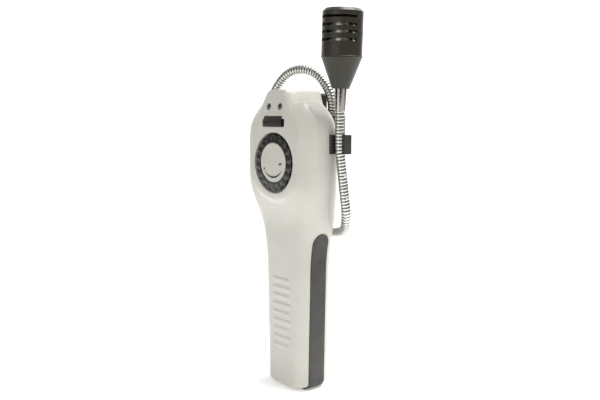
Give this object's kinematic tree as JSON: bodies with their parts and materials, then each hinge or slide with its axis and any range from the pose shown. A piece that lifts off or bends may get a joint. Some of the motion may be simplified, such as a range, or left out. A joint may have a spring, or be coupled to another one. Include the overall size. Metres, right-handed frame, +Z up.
{
  "type": "gas leak detector",
  "caption": "Hand-held gas leak detector with a two-shell housing, a fluted sensitivity dial, a slide switch, lamps, and a flexible arm that carries a slotted sensor head.",
  "frame": {"origin": "middle of the flat foot of the handle", "axes": "+Z up along the handle, -Y towards the front face with the dial, +X towards the arm's clip"},
  "size_m": [0.1005, 0.0536, 0.2757],
  "materials": {
    "white_plastic": "moulded light warm grey, soft gloss",
    "grip_rubber": "dark grey, matt",
    "dial_plastic": "dark moulded, satin",
    "disc_plastic": "light insert",
    "black_plastic": "dark moulded, satin",
    "head_plastic": "dark olive grey, satin",
    "arm_chrome": "wound steel strip, bright plated",
    "chrome": "turned and plated",
    "steel": "plated steel",
    "board_green": "coated board",
    "lamp_green": "dark green lens, unlit",
    "lamp_red": "dark red lens, unlit",
    "cell_wrap": "plain wrapped cell"
  },
  "bodies": {
    "housing": {"front_shell": "white_plastic", "rear_shell": "white_plastic", "battery_door": "white_plastic", "door_screw": "steel", "case_screws": "steel", "grip_strip_right": "grip_rubber", "grip_strip_left": "grip_rubber", "battery_cradle": "black_plastic", "battery_cell_1": "cell_wrap", "battery_cell_2": "cell_wrap", "battery_cell_3": "cell_wrap", "contact_spring": "steel", "contact_plate": "steel", "circuit_board": "board_green", "board_screws": "steel", "potentiometer": "black_plastic", "dial_disc": "disc_plastic", "switch_body": "black_plastic", "ready_lamp": "lamp_green", "alarm_lamp": "lamp_red", "buzzer": "black_plastic", "arm_socket": "black_plastic", "arm_clip": "black_plastic", "arm_main": "arm_chrome"},
    "dial": {"dial_ring": "dial_plastic", "potentiometer_rotor": "black_plastic"},
    "switch": {"switch_knob": "dial_plastic"},
    "link_1": {"arm_link_1": "arm_chrome"},
    "link_2": {"arm_link_2": "arm_chrome"},
    "link_3": {"arm_link_3": "arm_chrome"},
    "link_4": {"arm_link_4": "arm_chrome"},
    "sensor_arm": {"arm_upper": "arm_chrome", "ferrule": "chrome", "sensor_cone": "head_plastic", "sensor_cap": "head_plastic", "sensor_board": "board_green", "sensor_element": "steel"}
  },
  "joints": [
    {"name": "dial_turn", "type": "hinge", "parent": "housing", "child": "dial", "pos_m": [0, -0.0223, 0.1688], "axis": [0, -1, 0], "range_deg": [-135, 135]},
    {"name": "switch_slide", "type": "slide", "parent": "housing", "child": "switch", "axis": [1, 0, 0], "range_m": [-0.002, 0.002]},
    {"name": "arm_bend_1", "type": "hinge", "parent": "housing", "child": "link_1", "pos_m": [0.041, 0.00965, 0.1405], "axis": [1, 0, 0], "range_deg": [0, 12]},
    {"name": "arm_bend_2", "type": "hinge", "parent": "link_1", "child": "link_2", "pos_m": [0.041, 0.00845, 0.14855], "axis": [1, 0, 0], "range_deg": [0, 12]},
    {"name": "arm_bend_3", "type": "hinge", "parent": "link_2", "child": "link_3", "pos_m": [0.041, 0.00725, 0.1566], "axis": [1, 0, 0], "range_deg": [0, 12]},
    {"name": "arm_bend_4", "type": "hinge", "parent": "link_3", "child": "link_4", "pos_m": [0.041, 0.00605, 0.16465], "axis": [1, 0, 0], "range_deg": [0, 12]},
    {"name": "arm_bend_5", "type": "hinge", "parent": "link_4", "child": "sensor_arm", "pos_m": [0.041, 0.00484, 0.1727], "axis": [1, 0, 0], "range_deg": [0, 12]}
  ]
}
